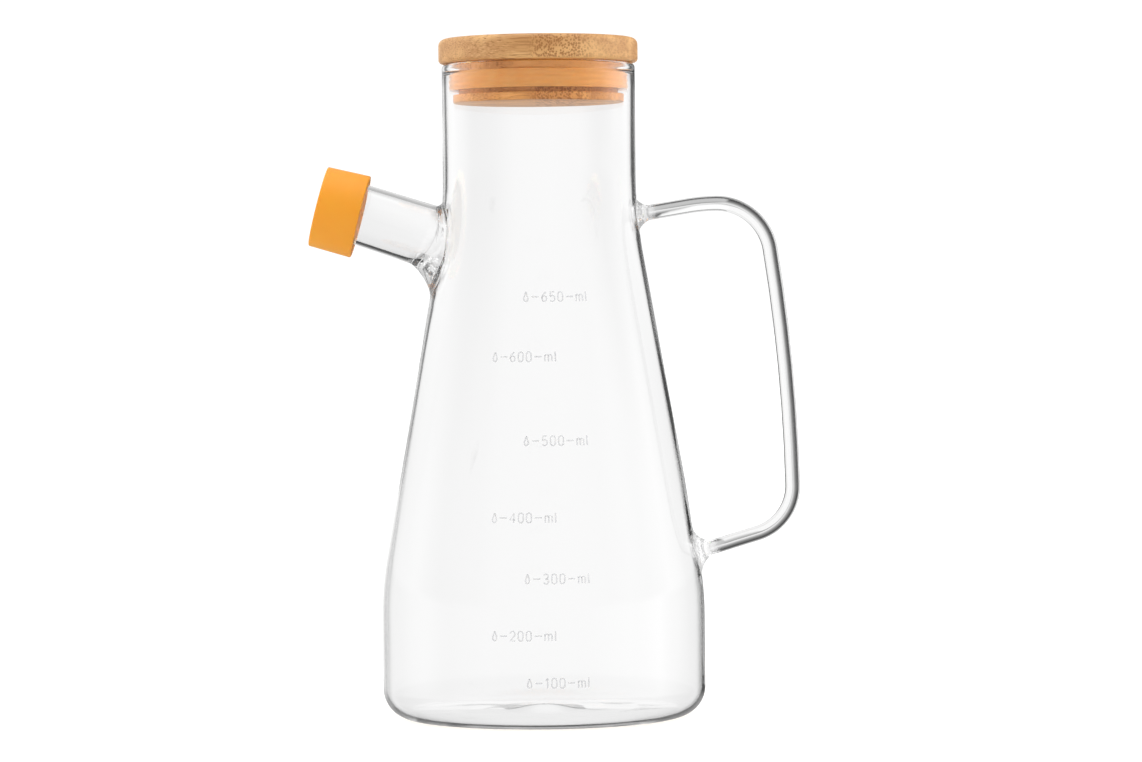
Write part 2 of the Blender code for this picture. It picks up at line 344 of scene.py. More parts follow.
class Skin:
    """Points and faces gathered ring by ring, which become one mesh."""

    def __init__(self):
        self.points = []
        self.faces = []
        self.uneven = []

    def ring(self, points, uneven=0):
        """Adds points and returns their numbers. uneven marks how lumpy the glass is there."""
        first = len(self.points)
        self.points.extend(points)
        self.uneven.extend([uneven] * len(points))
        return list(range(first, len(self.points)))

    def bridge(self, ring, next_ring):
        for k in range(len(ring)):
            self.faces.append((ring[k - 1], ring[k], next_ring[k], next_ring[k - 1]))

    def bridge_all(self, rings):
        for ring, next_ring in zip(rings, rings[1:]):
            self.bridge(ring, next_ring)

    def close(self, ring, tip):
        """Fans a ring to a point at its middle."""
        (number,) = self.ring([tip])
        for k in range(len(ring)):
            self.faces.append((ring[k - 1], ring[k], number))

    def mesh(self, name):
        """The mesh, with every face pointing out."""
        mesh = bpy.data.meshes.new(name)
        mesh.from_pydata([tuple(point) for point in self.points], [], self.faces)
        bm = bmesh.new()
        bm.from_mesh(mesh)
        bmesh.ops.recalc_face_normals(bm, faces=bm.faces)
        bm.to_mesh(mesh)
        bm.free()
        return mesh


def drop_loose_points(mesh):
    bm = bmesh.new()
    bm.from_mesh(mesh)
    loose = [vert for vert in bm.verts if not vert.link_faces]
    bmesh.ops.delete(bm, geom=loose, context="VERTS")
    bm.to_mesh(mesh)
    bm.free()


def add_piece(mesh, looks, slot, *nodes):
    """Puts a finished mesh in the scene, on the bottle's axis, in place of its solids."""
    mesh.transform(Matrix.Translation((AXIS_X, 0, 0)))
    mesh.shade_smooth()
    mesh.set_sharp_from_angle(angle=SHARP_EDGE)
    mesh.materials.append(looks)
    piece = bpy.data.objects.new(mesh.name, mesh)
    bpy.context.scene.collection.objects.link(piece)
    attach(piece, "root")
    if nodes:
        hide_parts(*nodes)
    return piece


def turned(name, profile, columns, ring=False):
    """A profile of (radius, z) points turned round the axis. A ring's profile is a loop."""
    skin = Skin()
    rows = []
    for radius, z in profile:
        if radius > 0:
            turns = [2 * pi * k / columns for k in range(columns)]
            rows.append(skin.ring([at_angle(turn, radius, z) for turn in turns]))
    skin.bridge_all(rows)
    if ring:
        skin.bridge(rows[-1], rows[0])
    else:
        skin.close(rows[0], Vector((0, 0, profile[0][1])))
        skin.close(rows[-1], Vector((0, 0, profile[-1][1])))
    return skin.mesh(name)


# Geometry

def plane_vector(angle):
    """The unit vector in the XZ plane at this angle above +X."""
    return Vector((cos(angle), 0, sin(angle)))


def at_angle(angle, radius, z):
    """The point at this angle round the axis from +X."""
    return Vector((radius * cos(angle), radius * sin(angle), z))


def between(start, end, share):
    return start + (end - start) * share


def shares(count):
    """Steps from just after 0 up to 1."""
    return [step / count for step in range(1, count + 1)]


def spoke(up, across, angle):
    return up * cos(angle) + across * sin(angle)


def rounded(*corners):
    """A profile of (radius, z) points. A corner may have a fillet and its steps as well."""
    points = [Vector(corners[0])]
    for before, corner, after in zip(corners, corners[1:], corners[2:]):
        here = Vector(corner[:2])
        if len(corner) == 2:
            points.append(here)
            continue
        fillet, steps = corner[2:]
        arriving = (here - Vector(before[:2])).normalized()
        leaving = (Vector(after[:2]) - here).normalized()
        turn = arriving.angle_signed(leaving)
        inward = Vector((arriving.y, -arriving.x)) * copysign(fillet, turn)
        centre = here - arriving * fillet * tan(abs(turn) / 2) + inward
        for step in range(steps + 1):
            swing = Matrix.Rotation(-turn * step / steps, 2)
            points.append(centre - swing @ inward)
    points.append(Vector(corners[-1]))
    return points


def blend(start, start_pull, end, end_pull, t):
    """A cubic from start to end, which leaves and arrives along the two pulls."""
    leave = start * (1 + t * t * (2 * t - 3)) + start_pull * (t * (t - 1) ** 2)
    arrive = end * (t * t * (3 - 2 * t)) + end_pull * (t * t * (t - 1))
    return leave + arrive


# The glass wall: its radius at each height, on the outside and on the inside

WALL_LINE = rounded(
    (NECK_RADIUS, RIM_Z),
    (NECK_RADIUS, SHOULDER_Z, SHOULDER_FILLET, ARC_STEPS),
    (BODY_RADIUS, HIP_Z, HIP_FILLET, ARC_STEPS),
    (BODY_RADIUS, 0),
)
WALL_HEIGHTS = [point.y for point in reversed(WALL_LINE)]
WALL_RADII = [point.x for point in reversed(WALL_LINE)]


def wall_thickness(z):
    """The blown wall is thinner where it was blown wider."""
    return float(numpy.interp(z, (THIN_WALL_Z, SHOULDER_Z), (BODY_WALL, WALL)))


def wall_radius(z, side=OUTSIDE):
    """Radius of the wall at this height, on its outside or its inside."""
    return float(numpy.interp(z, WALL_HEIGHTS, WALL_RADII)) - side * wall_thickness(z)


def wall_normal(point):
    slope = (wall_radius(point.z + SLOPE_STEP) - wall_radius(point.z - SLOPE_STEP)) / (2 * SLOPE_STEP)
    return Vector((point.x, point.y, -slope * point.xy.length)).normalized()


def on_wall(angle, z, side):
    return at_angle(angle, wall_radius(z, side), z)


def wall_crossing(start, direction, wall_side):
    """Where a line that starts inside the body leaves this side of the wall."""
    near, far = 0, 2 * BODY_RADIUS
    for _ in range(CROSSING_ROUNDS):
        middle = (near + far) / 2
        point = start + direction * middle
        if point.xy.length < wall_radius(point.z, wall_side):
            near = middle
        else:
            far = middle
    return start + direction * near


def wall_heights(lowest):
    """The rows of the wall, from under the rim to the heel, without the heel itself."""
    levels = (RIM_Z - RIM_DEPTH, JOINT_TOP, JOINT_BOTTOM, CONE_BOTTOM, LOW_JOINT_BOTTOM, lowest)
    counts = (NECK_ROWS, JOINT_ROWS, CONE_ROWS, ROD_ROWS, HIP_ROWS)
    heights = [levels[0]]
    for top, bottom, count in zip(levels, levels[1:], counts):
        heights += [top + (bottom - top) * step / count for step in range(1, count + 1)]
    return heights


def base_profile(height, heel, radius, dome):
    """The heel, the flat foot and the hollow dome, this far above the underside."""
    points = []
    for share in shares(HEEL_STEPS):
        angle = share * pi / 2
        points.append((radius - heel + heel * cos(angle), height + heel - heel * sin(angle)))
    flat = radius - heel
    for share in shares(FOOT_STEPS):
        points.append((flat + (PUNT_RADIUS - flat) * share, height))
    for share in shares(PUNT_STEPS):
        rise = dome * (1 + cos(pi * (1 - share))) / 2
        points.append((PUNT_RADIUS * (1 - share), height + rise))
    return points


# The wall's grid and its holes

class WallGrid:
    """One surface of the glass body: rows of points with rectangular holes left open."""

    def __init__(self, skin, side):
        self.skin = skin
        heel = HEEL_FILLET - side * BODY_WALL
        height = side * FLOOR_THICKNESS
        self.heights = wall_heights(height + heel)
        self.rows = [self.row(wall_radius(z, side), z) for z in self.heights]
        base = base_profile(height, heel, BODY_RADIUS - side * BODY_WALL, PUNT_HEIGHT[side])
        self.base_rows = [self.row(radius, z) for radius, z in base[:-1]]
        self.tip = Vector((0, 0, base[-1][1]))
        self.holes = []

    def row(self, radius, z):
        turn = 2 * pi / COLUMNS
        return self.skin.ring([at_angle(k * turn, radius, z) for k in range(COLUMNS)])

    def cut(self, first_row, row_count, middle_column, half_columns):
        """Leaves a hole open and returns its edge as (point number, angle, z)."""
        left = middle_column - half_columns
        right = middle_column + half_columns
        last_row = first_row + row_count
        self.holes.append((first_row, last_row, left, right))
        places = [(row, column) for row in (first_row, last_row) for column in range(left, right + 1)]
        places += [(row, column) for row in range(first_row + 1, last_row) for column in (left, right)]
        turn = 2 * pi / COLUMNS
        return [
            (self.rows[row][column % COLUMNS], column * turn, self.heights[row])
            for row, column in places
        ]

    def open_at(self, row, column):
        for first_row, last_row, left, right in self.holes:
            if first_row <= row < last_row and (column - left) % COLUMNS < right - left:
                return True
        return False

    def fill(self):
        """Adds the faces between the rows, apart from the holes."""
        for row, (upper, lower) in enumerate(zip(self.rows, self.rows[1:])):
            for column in range(COLUMNS):
                if self.open_at(row, column):
                    continue
                after = (column + 1) % COLUMNS
                self.skin.faces.append((upper[column], upper[after], lower[after], lower[column]))
        self.skin.bridge_all([self.rows[-1]] + self.base_rows)
        self.skin.close(self.base_rows[-1], self.tip)


def round_branch(edge, start, up, across):
    """A hole's edge put in order round a branch, each point with its angle from the up side."""
    ordered = []
    for number, angle, z in edge:
        offset = at_angle(angle, wall_radius(z), z) - start
        turn = atan2(offset.dot(across), offset.dot(up))
        ordered.append((turn, number, angle, z))
    return sorted(ordered)


def fused_root(skin, edge, start, axes, radius, spread, weld=1, wall_side=OUTSIDE):
    """Rings from a hole's edge along the wall and then up the branch.

    spread gives how far the joint reaches along the branch and along the wall, first for the
    branch's up side and then for its other side.
    """
    outward, up, across = axes
    above, below = spread
    patch = [[] for _ in range(PATCH_STEPS)]
    rise = [[] for _ in range(ROOT_STEPS)]
    for turn, _, angle, z in edge:
        side = spoke(up, across, turn)
        foot = wall_crossing(start + side * radius, outward, wall_side)
        share = ((1 - cos(turn)) / 2) ** 2
        along_branch = between(above[0], below[0], share)
        along_wall = between(above[1], below[1], share)
        normal = wall_normal(foot)
        pull = (side - normal * side.dot(normal)).normalized() * along_wall
        low = foot + pull
        low_angle = atan2(low.y, low.x)
        low_angle += 2 * pi * round((angle - low_angle) / (2 * pi))
        for ring, step in zip(patch, shares(PATCH_STEPS)):
            ring.append(on_wall(between(angle, low_angle, step), between(z, low.z, step), wall_side))
        low = patch[-1][-1]
        climb = outward * along_branch
        for ring, step in zip(rise, shares(ROOT_STEPS)):
            ring.append(blend(low, -pull, foot + climb, climb, step))
    rings = [[number for _, number, _, _ in edge]]
    rings += [skin.ring(ring, weld * step ** 2) for ring, step in zip(patch, shares(PATCH_STEPS))]
    rings += [skin.ring(ring, weld) for ring in rise]
    return rings


# Branches

def spout_frame():
    """The spout's start on the bottle's axis, its direction, its up side and the one across."""
    outward = plane_vector(pi - SPOUT_TILT)
    up = plane_vector(pi / 2 - SPOUT_TILT)
    return Vector((0, 0, SPOUT_Z)), outward, up, outward.cross(up)


def spout_ring(distance, radius, turns):
    start, outward, up, across = spout_frame()
    return [start + outward * distance + spoke(up, across, turn) * radius for turn in turns]


def tube_rings(skin, first, last, count):
    """Rings from one list of points to another. The lumps of the joint soon fade."""
    rings = []
    for share in shares(count):
        ring = [between(a, b, share) for a, b in zip(first, last)]
        rings.append(skin.ring(ring, max(0, SPOUT_WELD - SPOUT_WELD_FADE * share)))
    return rings


def points_of(skin, ring):
    return [skin.points[number] for number in ring]


def add_spout(skin, outer, inner):
    hole = (NECK_ROWS, JOINT_ROWS, COLUMNS // 2, SPOUT_HALF_COLUMNS)
    start, *axes = spout_frame()
    outer_edge = round_branch(outer.cut(*hole), start, *axes[1:])
    inner_edge = round_branch(inner.cut(*hole), start, *axes[1:])
    turns = [place[0] for place in outer_edge]
    inner_turns = [place[0] for place in inner_edge]
    lip = SPOUT_WALL / 2
    outside = fused_root(skin, outer_edge, start, axes, SPOUT_ROOT_RADIUS, SPOUT_SPREAD, SPOUT_WELD)
    tip = spout_ring(SPOUT_LENGTH - lip, SPOUT_TIP_RADIUS, turns)
    outside += tube_rings(skin, points_of(skin, outside[-1]), tip, SPOUT_STEPS)
    for share in shares(LIP_STEPS):
        around = pi * share
        mixed = [between(a, b, share) for a, b in zip(turns, inner_turns)]
        reach = SPOUT_LENGTH - lip + lip * sin(around)
        radius = SPOUT_TIP_RADIUS - lip + lip * cos(around)
        outside.append(skin.ring(spout_ring(reach, radius, mixed)))
    bore = SPOUT_ROOT_RADIUS - SPOUT_WALL
    inside = fused_root(skin, inner_edge, start, axes, bore, BORE_SPREAD, SPOUT_WELD, INSIDE)
    mouth = points_of(skin, outside[-1])
    inside += tube_rings(skin, points_of(skin, inside[-1]), mouth, SPOUT_STEPS)[:-1]
    skin.bridge_all(outside)
    skin.bridge_all(inside + [outside[-1]])


def handle_path():
    """Points of the rod's centre line with their headings, from its start to its end."""
    heading = HANDLE_RISE
    origin = Vector((HANDLE_X, 0, HANDLE_Z))
    run = plane_vector(heading) * TOP_RUN
    path = [(origin + run * share, heading) for share in [0] + shares(RUN_STEPS)]
    point = path[-1][0]
    for radius, turn in (TOP_EASE, TOP_BEND, GRIP_BOW, LOW_BEND):
        steps = max(LEAST_STEPS, ceil(turn / BEND_STEP))
        half = turn / steps / 2
        for _ in range(steps):
            point = point + plane_vector(heading - half) * (2 * radius * sin(half))
            heading -= 2 * half
            path.append((point, heading))
    run = plane_vector(heading) * LOW_RUN
    path += [(point + run * share, heading) for share in shares(RUN_STEPS)]
    return path


def rod_root(skin, edge, place, outward, spread):
    """One end of the rod: its rings from the wall, and their angles round the rod."""
    end, heading = place
    up = plane_vector(heading + pi / 2)
    across = Vector((0, -1, 0))
    core = end - outward * ROOT_CORE_DEPTH
    ordered = round_branch(edge, core, up, across)
    axes = (outward, up, across)
    rings = fused_root(skin, ordered, core, axes, ROD_RADIUS, (spread, spread))
    return rings, [place[0] for place in ordered]


def add_handle(skin, outer):
    path = handle_path()
    low_row = NECK_ROWS + JOINT_ROWS + CONE_ROWS
    upper_edge = outer.cut(NECK_ROWS, ROD_ROWS, 0, ROD_HALF_COLUMNS)
    lower_edge = outer.cut(low_row, ROD_ROWS, 0, ROD_HALF_COLUMNS)
    away = plane_vector(path[0][1])
    upper, first_turns = rod_root(skin, upper_edge, path[0], away, UPPER_ROD_SPREAD)
    away = -plane_vector(path[-1][1])
    lower, last_turns = rod_root(skin, lower_edge, path[-1], away, LOWER_ROD_SPREAD)
    middle = path[ROOT_RUNS:-ROOT_RUNS]
    rod = []
    for k, (point, heading) in enumerate(middle):
        share = (k + 1) / (len(middle) + 1)
        up = plane_vector(heading + pi / 2)
        ring = []
        for first, last in zip(first_turns, last_turns):
            side = spoke(up, Vector((0, -1, 0)), between(first, last, share))
            ring.append(point + side * ROD_RADIUS)
        rod.append(skin.ring(ring))
    skin.bridge_all(upper + rod + lower[::-1])


def add_rim(skin, outer, inner):
    """The fire-polished rim: a bead that swells inward, from the outer to the inner wall."""
    inner_edge = NECK_RADIUS - 2 * RIM_LIP
    rows = [outer.rows[0]]
    for share in [0] + shares(LIP_STEPS):
        around = pi * share
        radius = NECK_RADIUS - RIM_LIP + RIM_LIP * cos(around)
        rows.append(outer.row(radius, RIM_Z - RIM_LIP + RIM_LIP * sin(around)))
    for share in shares(RIM_EASE_STEPS)[:-1]:
        ease = (1 - cos(pi * share)) / 2
        z = between(RIM_Z - RIM_LIP, RIM_Z - RIM_DEPTH, share)
        rows.append(outer.row(between(inner_edge, wall_radius(z, INSIDE), ease), z))
    skin.bridge_all(rows + [inner.rows[0]])


def lump(point, size):
    """How far hot glass is pushed out or in at this point."""
    return noise.noise(point / size) + FINE_LUMPS * noise.noise(point / size * FINER)


def dent(point):
    """How far the wall is pushed in where the handle's lower end was pressed on."""
    beyond = point.xy.length - wall_radius(point.z)
    fade = exp(-((max(0, beyond) / DENT_REACH) ** 2))
    across = point.y / DENT_RADIUS
    along = (point.z - DENT_Z) / DENT_RADIUS
    inner = beyond < -wall_thickness(point.z) / 2
    depth = DENT_DEPTH_INSIDE if inner else DENT_DEPTH
    return depth * fade * exp(-across * across - along * along) if point.x > 0 else 0


def work_by_hand(skin, mesh):
    """Makes the glass uneven, as it is where hot pieces were joined."""
    worked = []
    for vert in mesh.vertices:
        point = vert.co.copy()
        push = skin.uneven[vert.index] * LUMP_HEIGHT * lump(point, LUMP_SIZE)
        worked.append(point + vert.normal * push - Vector((dent(point), 0, 0)))
    for vert, point in zip(mesh.vertices, worked):
        vert.co = point


def glass_bottle():
    skin = Skin()
    outer = WallGrid(skin, OUTSIDE)
    inner = WallGrid(skin, INSIDE)
    add_rim(skin, outer, inner)
    add_spout(skin, outer, inner)
    add_handle(skin, outer)
    outer.fill()
    inner.fill()
    mesh = skin.mesh("clear_bottle")
    weld = mesh.attributes.new("weld", "FLOAT", "POINT")
    weld.data.foreach_set("value", skin.uneven)
    work_by_hand(skin, mesh)
    drop_loose_points(mesh)
    return add_piece(mesh, clear_glass(), "clear_glass", "glass_bottle")


# Lid, seal and cap

def bamboo_lid():
    underside = RIM_Z + GAP
    top = underside + LID_THICKNESS
    groove_top = underside - SEAL_TOP_DROP + GAP
    groove_bottom = underside - SEAL_TOP_DROP - SEAL_HEIGHT - GROOVE_GAP
    groove_radius = SEAL_INNER_RADIUS - GAP
    plug_bottom = underside - PLUG_DEPTH
    profile = rounded(
        (0, top),
        (LID_RADIUS, top, LID_TOP_FILLET, LID_TOP_STEPS),
        (LID_RADIUS, underside, LID_BOTTOM_FILLET, LID_BOTTOM_STEPS),
        (PLUG_RADIUS, underside),
        (PLUG_RADIUS, groove_top, EDGE_EASE, EDGE_STEPS),
        (groove_radius, groove_top),
        (groove_radius, groove_bottom),
        (PLUG_RADIUS, groove_bottom, EDGE_EASE, EDGE_STEPS),
        (PLUG_RADIUS, plug_bottom, PLUG_FILLET, PLUG_STEPS),
        (0, plug_bottom),
    )
    mesh = turned("bamboo_stopper", profile, LID_COLUMNS)
    return add_piece(mesh, bamboo(), "bamboo", "bamboo_lid")


def seal_ring():
    seal_top = RIM_Z + GAP - SEAL_TOP_DROP
    steps = SEAL_RIBS * SEAL_RIB_STEPS
    profile = [(SEAL_INNER_RADIUS, seal_top)]
    for step in range(steps + 1):
        share = step / steps
        valley = SEAL_RIB_HEIGHT * cos(pi * SEAL_RIBS * share) ** 2
        profile.append((SEAL_RADIUS - valley, seal_top - SEAL_HEIGHT * share))
    profile.append((SEAL_INNER_RADIUS, seal_top - SEAL_HEIGHT))
    mesh = turned("silicone_seal", profile, LID_COLUMNS, ring=True)
    return add_piece(mesh, clear_silicone(), "clear_silicone", "seal_ring")


def cap_shell(skin, place, turns):
    """The cap's outside, from its closed end to its mouth."""
    end = (CAP_END_RADIUS, CAP_LENGTH, CAP_FILLET, CAP_FILLET_STEPS)
    rim = (CAP_MOUTH_RADIUS, 0, CAP_FILLET, CAP_FILLET_STEPS)
    rings = []
    for radius, z in rounded((0, CAP_LENGTH), end, rim, (0, 0))[1:-1]:
        rings.append(skin.ring([place @ at_angle(turn, radius, z) for turn in turns]))
    skin.close(rings[0], place @ Vector((0, 0, CAP_LENGTH)))
    return rings


def cap_bore(skin, place, turns):
    """The cap's bore, which follows the spout from the cap's mouth to the spout's end."""
    start, outward, up, across = spout_frame()
    facing = place.to_3x3() @ Vector((0, 0, 1))
    reach = SPOUT_LENGTH + CAP_CLEARANCE
    rings = []
    for share in [0] + shares(BORE_STEPS):
        ring = []
        for turn in turns:
            side = spoke(up, -across, turn)
            foot = start + side * (SPOUT_ROOT_RADIUS + CAP_CLEARANCE)
            run = (place.translation - foot).dot(facing) / outward.dot(facing)
            far = start + outward * reach + side * (SPOUT_TIP_RADIUS + CAP_CLEARANCE)
            ring.append(between(foot + outward * run, far, share))
        rings.append(skin.ring(ring))
    skin.close(rings[-1], start + outward * reach)
    return rings


def spout_cap():
    """A cup turned round its own tilted axis."""
    tilt = Matrix.Rotation(CAP_TILT - pi / 2, 4, "Y")
    place = Matrix.Translation((CAP_MOUTH_X, 0, CAP_MOUTH_Z)) @ tilt
    turns = [2 * pi * k / CAP_COLUMNS for k in range(CAP_COLUMNS)]
    skin = Skin()
    skin.bridge_all(cap_shell(skin, place, turns) + cap_bore(skin, place, turns))
    cap = add_piece(skin.mesh("silicone_cap"), orange_silicone(), "orange_silicone", "spout_cap")
    cap.visible_glossy = False
    return cap


# Print: drop, dash, number, dash and ml beside each volume mark

def arc(x, y, half_width, half_height, start, end):
    """Points along part of an ellipse, angles in degrees from +X."""
    points = []
    for degrees in numpy.linspace(start, end, ARC_POINTS):
        angle = radians(degrees)
        points.append((x + half_width * cos(angle), y + half_height * sin(angle)))
    return points


# Each sign has its width and its strokes. A digit is 1 high.
SIGNS = {
    "0": (0.5, [arc(0.25, 0.72, 0.25, 0.28, 0, 180) + arc(0.25, 0.28, 0.25, 0.28, 180, 360) + [(0.5, 0.72)]]),
    "1": (0.3, [[(0.02, 0.8), (0.2, 1), (0.2, 0)]]),
    "2": (0.5, [arc(0.25, 0.74, 0.25, 0.26, 170, -35) + [(0, 0), (0.5, 0)]]),
    "3": (
        0.5,
        [arc(0.24, 0.75, 0.23, 0.25, 160, -90) + [(0.16, 0.5)], arc(0.24, 0.26, 0.26, 0.26, 90, -160)],
    ),
    "4": (0.55, [[(0.4, 0), (0.4, 1), (0, 0.3), (0.55, 0.3)]]),
    "5": (0.5, [[(0.46, 1), (0.06, 1), (0.03, 0.55)] + arc(0.24, 0.31, 0.26, 0.31, 130, -150)]),
    "6": (
        0.5,
        [[(0.4, 1)] + arc(0.45, 0.3, 0.45, 0.62, 110, 180) + arc(0.25, 0.3, 0.25, 0.3, 180, 540)],
    ),
    "m": (
        0.72,
        [
            [(0, 0), (0, 0.7)],
            arc(0.18, 0.5, 0.18, 0.2, 180, 0) + [(0.36, 0)],
            arc(0.54, 0.5, 0.18, 0.2, 180, 0) + [(0.72, 0)],
        ],
    ),
    "l": (0.05, [[(0.02, 0), (0.02, 1)]]),
    "-": (0.75, [[(0, 0.5), (0.75, 0.5)]]),
    "o": (0.45, [[(0.22, 1)] + arc(0.22, 0.32, 0.22, 0.3, 140, 400) + [(0.22, 1)]]),
}


def stroke(skin, points, place):
    """A flat ribbon of paint along a stroke, as one closed strip."""
    rings = []
    for k, point in enumerate(points):
        before, after = points[max(k - 1, 0)], points[min(k + 1, len(points) - 1)]
        run = (Vector(after) - Vector(before)).normalized() * (PRINT_STROKE / 2)
        aside = Vector((-run.y, run.x))
        left, right = Vector(point) + aside, Vector(point) - aside
        corners = [(left, 0), (right, 0), (right, PRINT_PAINT), (left, PRINT_PAINT)]
        rings.append(skin.ring([place(corner.x, corner.y, height) for corner, height in corners]))
    skin.bridge_all(rings)
    skin.faces += [tuple(rings[0]), tuple(rings[-1])]


def volume_print():
    """The volume marks, laid on the front of the glass."""
    skin = Skin()
    for number, z, middle in VOLUME_MARKS:
        signs = "o-" + number + "-ml"
        width = sum(SIGNS[sign][0] for sign in signs) + PRINT_SPACE * (len(signs) - 1)
        start = middle - width * PRINT_HEIGHT / 2

        def place(x, y, height):
            level = z + y
            radius = wall_radius(level) + PRINT_LIFT + height
            return at_angle(-pi / 2 + x / wall_radius(z), radius, level)

        for sign in signs:
            sign_width, strokes = SIGNS[sign]
            for points in strokes:
                scaled = [(start + x * PRINT_HEIGHT, (y - 0.5) * PRINT_HEIGHT) for x, y in points]
                stroke(skin, scaled, place)
            start += (sign_width + PRINT_SPACE) * PRINT_HEIGHT
    return add_piece(skin.mesh("volume_print"), print_paint(), "clear_glass")


# Materials

class Graph:
    """Makes and links the shader nodes of one tree."""

    def __init__(self, tree):
        self.tree = tree
        tree.nodes.clear()

    def node(self, kind, inputs=None, **settings):
        made = self.tree.nodes.new("ShaderNode" + kind)
        for name, value in settings.items():
            setattr(made, name, value)
        for key, value in (inputs or {}).items():
            if isinstance(value, bpy.types.NodeSocket):
                self.tree.links.new(value, made.inputs[key])
            else:
                made.inputs[key].default_value = value
        return made

    def math(self, operation, *values):
        return self.node("Math", dict(enumerate(values)), operation=operation).outputs[0]

    def times(self, first, second):
        return self.math("MULTIPLY", first, second)

    def fade(self, value, start, end, low=0.0, high=1.0):
        """Goes smoothly from low to high as the value goes from start to end."""
        inputs = {"Value": value, "From Min": start, "From Max": end, "To Min": low, "To Max": high}
        return self.node("MapRange", inputs, interpolation_type="SMOOTHSTEP").outputs[0]

    def mix(self, share, low, high):
        """A number between two numbers."""
        inputs = {0: share, 2: low, 3: high}
        return self.node("Mix", inputs).outputs[0]

    def curve(self, value, points):
        """A number that runs straight from point to point of (angle in degrees, light)."""
        reach = points[-1][0]
        ramp = self.tree.nodes.new("ShaderNodeValToRGB")
        stops = ramp.color_ramp.elements
        while len(stops) < len(points):
            stops.new(1.0)
        for stop, (angle, light) in zip(stops, points):
            stop.position = angle / reach
            stop.color = (light, light, light, 1)
        self.tree.links.new(self.math("DIVIDE", value, float(reach)), ramp.inputs[0])
        return self.node("SeparateColor", {0: ramp.outputs[0]}).outputs[0]

    def mix_colour(self, share, low, high):
        inputs = {0: share, 6: low, 7: high}
        return self.node("Mix", inputs, data_type="RGBA").outputs[2]

    def object_point(self, turn=0.0, scale=(1, 1, 1)):
        """The place on the piece, in metres, turned round Z and stretched."""
        point = self.node("TexCoord").outputs["Object"]
        inputs = {"Vector": point, "Angle": turn}
        point = self.node("VectorRotate", inputs, rotation_type="Z_AXIS").outputs[0]
        return self.node("VectorMath", {0: point, 1: scale}, operation="MULTIPLY").outputs[0]

    def noise(self, point, scale, detail=2.0, roughness=0.5):
        inputs = {"Vector": point, "Scale": scale, "Detail": detail, "Roughness": roughness}
        return self.node("TexNoise", inputs).outputs["Fac"]

    def bump(self, height, strength, distance):
        inputs = {"Height": height, "Strength": strength, "Distance": distance}
        return self.node("Bump", inputs).outputs["Normal"]

    def finish(self, shader):
        self.node("OutputMaterial", {0: shader})


def material(name):
    made = bpy.data.materials.new(name)
    made.use_nodes = True
    return made, Graph(made.node_tree)


def surface(made, graph, inputs):
    """Finishes a material of one principled shader."""
    graph.finish(graph.node("BsdfPrincipled", inputs).outputs[0])
    return made


def clear_glass():
    """Clear glass with the faint waves of hand work, and softer lines where it is welded."""
    made, graph = material("clear_glass")
    weld = graph.node("Attribute", attribute_name="weld").outputs["Fac"]
    seen = graph.node("LightPath").outputs["Is Camera Ray"]
    point = graph.object_point(scale=(1, 1, 0.35))
    waves = graph.noise(point, WAVE_SCALE, detail=1.0)
    inputs = {
        "Base Color": (1, 1, 1, 1),
        "Roughness": 0.0,
        "IOR": GLASS_IOR,
        "Transmission Weight": 1.0,
        "Alpha": graph.mix(seen, 1.0, graph.fade(weld, 0.1, 0.9, 1.0, WELD_ALPHA)),
        "Normal": graph.bump(waves, WAVE_STRENGTH, WAVE_HEIGHT),
    }
    return surface(made, graph, inputs)


def bamboo_areas(graph):
    """Where the fibres are cut across, and how clearly their ends show."""
    sides = graph.node("SeparateXYZ", {0: graph.object_point()}).outputs
    rightward, up = sides[0], sides[2]
    cut_across = graph.fade(rightward, JOIN_X - JOIN_EASE, JOIN_X + JOIN_EASE)
    below_top = graph.fade(up, LID_TOP_Z - TOP_FADE[0], LID_TOP_Z - TOP_FADE[1], 1.0, 0.0)
    fainter = graph.fade(rightward, JOIN_X + DOTS_FADE[0], JOIN_X + DOTS_FADE[1], 1.0, FAINT_DOTS)
    off_collar = graph.math("ABSOLUTE", graph.math("SUBTRACT", up, COLLAR_Z))
    clear = graph.times(fainter, graph.fade(off_collar, *COLLAR_FADE))
    return graph.times(cut_across, below_top), clear


def fibre_ends(graph):
    """Dots of uneven size, one for each bundle of fibres that is cut across."""
    point = graph.object_point(GRAIN_TURN, (1, 1 / GRAIN_STRETCH, 0.8))
    inputs = {"Vector": point, "Scale": BUNDLE_SCALE, "Randomness": 0.9}
    distance = graph.node("TexVoronoi", inputs).outputs["Distance"]
    size = graph.math("MULTIPLY_ADD", graph.noise(point, 420.0, detail=1.0), 0.5, 0.24)
    inner = graph.math("SUBTRACT", size, 0.14)
    outer = graph.math("ADD", size, 0.12)
    return graph.fade(distance, inner, outer, 1.0, 0.0)


